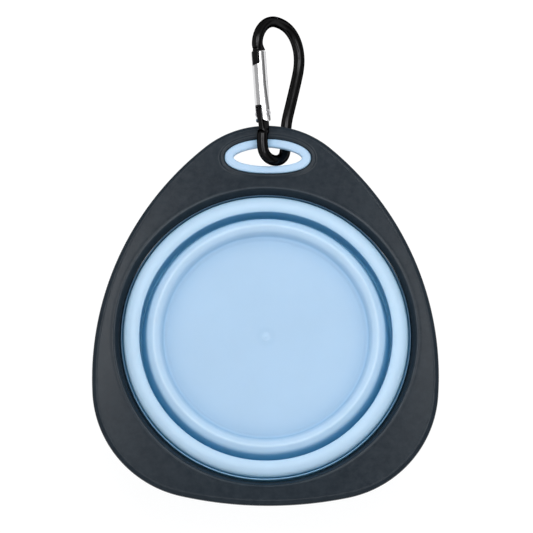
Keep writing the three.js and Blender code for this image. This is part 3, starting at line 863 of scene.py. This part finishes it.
def slot_cutter(t0, t1, s_open, root0, root1, w0, w1):
    """Runs across the gate from t0 to t1, between w0 and w1; its root runs from root0 to root1, with rounded corners."""
    sign = 1.0 if root0 > s_open else -1.0
    r = 0.45
    prof = [(w0, s_open)]
    prof += [(w0 + r - r * math.cos(a), root0 - sign * r * (1 - math.sin(a))) for a in [math.pi / 2 * i / 5 for i in range(6)]]
    prof += [(w1 - r + r * math.cos(a), root1 - sign * r * (1 - math.sin(a))) for a in [math.pi / 2 * (5 - i) / 5 for i in range(6)]]
    prof += [(w1, s_open)]
    n = len(prof)
    verts = [(t0, s, z) for z, s in prof] + [(t1, s, z) for z, s in prof]
    faces = [tuple(range(n)), tuple(range(n, 2 * n))[::-1]]
    faces += [((i + 1) % n, i, n + i, n + (i + 1) % n) for i in range(n)]
    ob = mesh_object("cutter", verts, faces)
    bm = bmesh.new()
    bm.from_mesh(ob.data)
    bmesh.ops.recalc_face_normals(bm, faces=bm.faces)
    bm.to_mesh(ob.data)
    bm.free()
    return ob


def mesh_cylinder(r, s0, s1, n=48):
    verts = [(r * math.cos(2 * math.pi * j / n), s0, r * math.sin(2 * math.pi * j / n)) for j in range(n)]
    verts += [(x, s1, z) for x, _, z in verts]
    faces = [tuple(range(n)), tuple(range(n, 2 * n))[::-1]]
    faces += [((j + 1) % n, j, n + j, n + (j + 1) % n) for j in range(n)]
    ob = mesh_object("cutter", verts, faces)
    bm = bmesh.new()
    bm.from_mesh(ob.data)
    bmesh.ops.recalc_face_normals(bm, faces=bm.faces)
    bm.to_mesh(ob.data)
    bm.free()
    return ob


def make_rivet():
    head = spline([(0.0, 3.44), (0.5, 3.41), (0.95, 3.32), (1.22, 3.18), (1.35, 3.0), (1.35, 2.7)], 5)
    low = [(r, -z) for r, z in head][::-1]
    ob = turned("gate_rivet", [dict(pts=low, n1=(1.0, 0.0)), [(1.35, -2.7), (0.95, -2.7)], [(0.95, -2.7), (0.95, 2.7)],
                               [(0.95, 2.7), (1.35, 2.7)], dict(pts=head[::-1], n0=(1.0, 0.0))], 48)
    ob.data.transform(Matrix.Scale(1 / MM, 4))
    ob.data.transform(Matrix.Scale(MM, 4) @ GATE)
    return ob


# -------------------------------------------------------------------- assembly
dress(make_frame(), M_FRAME, "frame_plastic", "frame", "frame")
dress(make_lining(), M_LINING, "soft_blue", "frame", "slot_lining")
rim, web1, tier, web2, base = make_bowl()
dress(rim, M_RIM, "soft_blue", "frame", "rim_band")
dress(web1, M_BLUE, "soft_blue", None, "upper_fold_web")
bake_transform(web1)
dress(tier, M_BLUE, "soft_blue", "tier", "tier_band")
dress(web2, M_FOLD, "soft_blue", None, "lower_fold_web")
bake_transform(web2)
dress(base, M_BASE, "soft_blue", "base", "base_cup")
dress(make_hook(), M_BLACK, "black_anodised", "carabiner", "carabiner_hook")
dress(make_gate(), M_SILVER, "gate_silver", "gate", "carabiner_gate")
dress(make_rivet(), M_STEEL, "steel", "carabiner", "gate_pivot_rivet")
for name in ("gate_spring", "spring_plunger"):
    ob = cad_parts[name]
    ob.data.materials.clear()
    ob.data.materials.append(M_STEEL)

# ----------------------------------------------------------------- floor, light
floor = mesh_object("floor", [(-2500, -2500, GROUND), (2500, -2500, GROUND), (2500, 2500, GROUND), (-2500, 2500, GROUND)],
                    [(0, 1, 2, 3)])
fmat, fnt, fb = principled("floor_white", (0.12, 0.12, 0.12), 0.9)
fb.inputs["Specular IOR Level"].default_value = 0.0
fb.inputs["Emission Color"].default_value = (1, 1, 1, 1)
fb.inputs["Emission Strength"].default_value = 0.93
floor.data.materials.append(fmat)

world = bpy.data.worlds.new("studio")
bpy.context.scene.world = world
world.use_nodes = True
wnt = world.node_tree
back = wnt.nodes["Background"]
back.inputs["Color"].default_value = (1, 1, 1, 1)
way = wnt.nodes.new("ShaderNodeTexCoord")
part = wnt.nodes.new("ShaderNodeSeparateXYZ")
wnt.links.new(way.outputs["Generated"], part.inputs["Vector"])
fade = wnt.nodes.new("ShaderNodeMapRange")
fade.inputs["From Min"].default_value = -1.0
fade.inputs["From Max"].default_value = 1.0
wnt.links.new(part.outputs["X"], fade.inputs["Value"])
glow = ramp(wnt, fade.outputs["Result"], [((x + 1) / 2, (g, g, g)) for x, g in
                                          [(-0.8, 0.50), (0.0, 0.30), (0.45, 0.36), (0.60, 0.58), (0.72, 0.42), (0.84, 0.25), (0.97, 0.12)]])
wnt.links.new(glow.outputs["Color"], back.inputs["Color"])
back.inputs["Strength"].default_value = 1.0


def softbox(name, place, target, size, power, size_y=None):
    light = bpy.data.lights.new(name, "AREA")
    light.energy = power
    light.shape = "RECTANGLE"
    light.size = size
    light.size_y = size_y or size
    ob = bpy.data.objects.new(name, light)
    bpy.context.scene.collection.objects.link(ob)
    ob.location = place
    ob.rotation_euler = (Vector(target) - Vector(place)).to_track_quat("-Z", "Y").to_euler()
    return ob


softbox("left_top", (-0.135, 0.06, 0.50), (-0.135, 0.0601, 0.0), 0.14, 0.80, 0.62)
softbox("right_top", (0.185, 0.05, 0.50), (0.185, 0.0501, 0.0), 0.23, 1.33, 0.62)
softbox("left_strip", (-0.09, 0.115, 0.49), (-0.09, 0.1151, 0.0), 0.06, 0.11, 0.10)
softbox("right_strip", (0.09, 0.115, 0.49), (0.09, 0.1151, 0.0), 0.06, 0.07, 0.10)
softbox("back_top", (0.0, 0.40, 0.66), (0, 0.06, 0), 0.66, 1.58, 0.30)
softbox("front", (0.0, -0.42, 0.42), (0, 0, 0), 0.50, 0.20, 0.24)

# ----------------------------------------------------------------------- camera
PX = 0.40                         # mm per pixel at the frame's top face
ELEV = math.radians(79)
ROLL = math.radians(0.605)
DIST = 8000.0
fwd = Vector((0, math.cos(ELEV), -math.sin(ELEV)))
up = Vector((0, math.sin(ELEV), math.cos(ELEV)))
right = fwd.cross(up)
up, right = up * math.cos(ROLL) - right * math.sin(ROLL), right * math.cos(ROLL) + up * math.sin(ROLL)
aim = Vector((0, 0, TOP)) + right * (266.5 - 265.89) * PX + up * (336.8 - 266.5) * PX
cam = bpy.data.cameras.new("camera")
cam.sensor_width = 36.0
cam.lens = 36.0 * DIST / (533 * PX)
cam.clip_start, cam.clip_end = 1.0, 40
cob = bpy.data.objects.new("camera", cam)
bpy.context.scene.collection.objects.link(cob)
cob.matrix_world = Matrix.Translation((aim - fwd * DIST) * MM) @ Matrix((right, up, -fwd)).transposed().to_4x4()
bpy.context.scene.camera = cob

scene = bpy.context.scene
scene.view_settings.view_transform = "Standard"
scene.view_settings.look = "None"

bpy.context.view_layer.update()
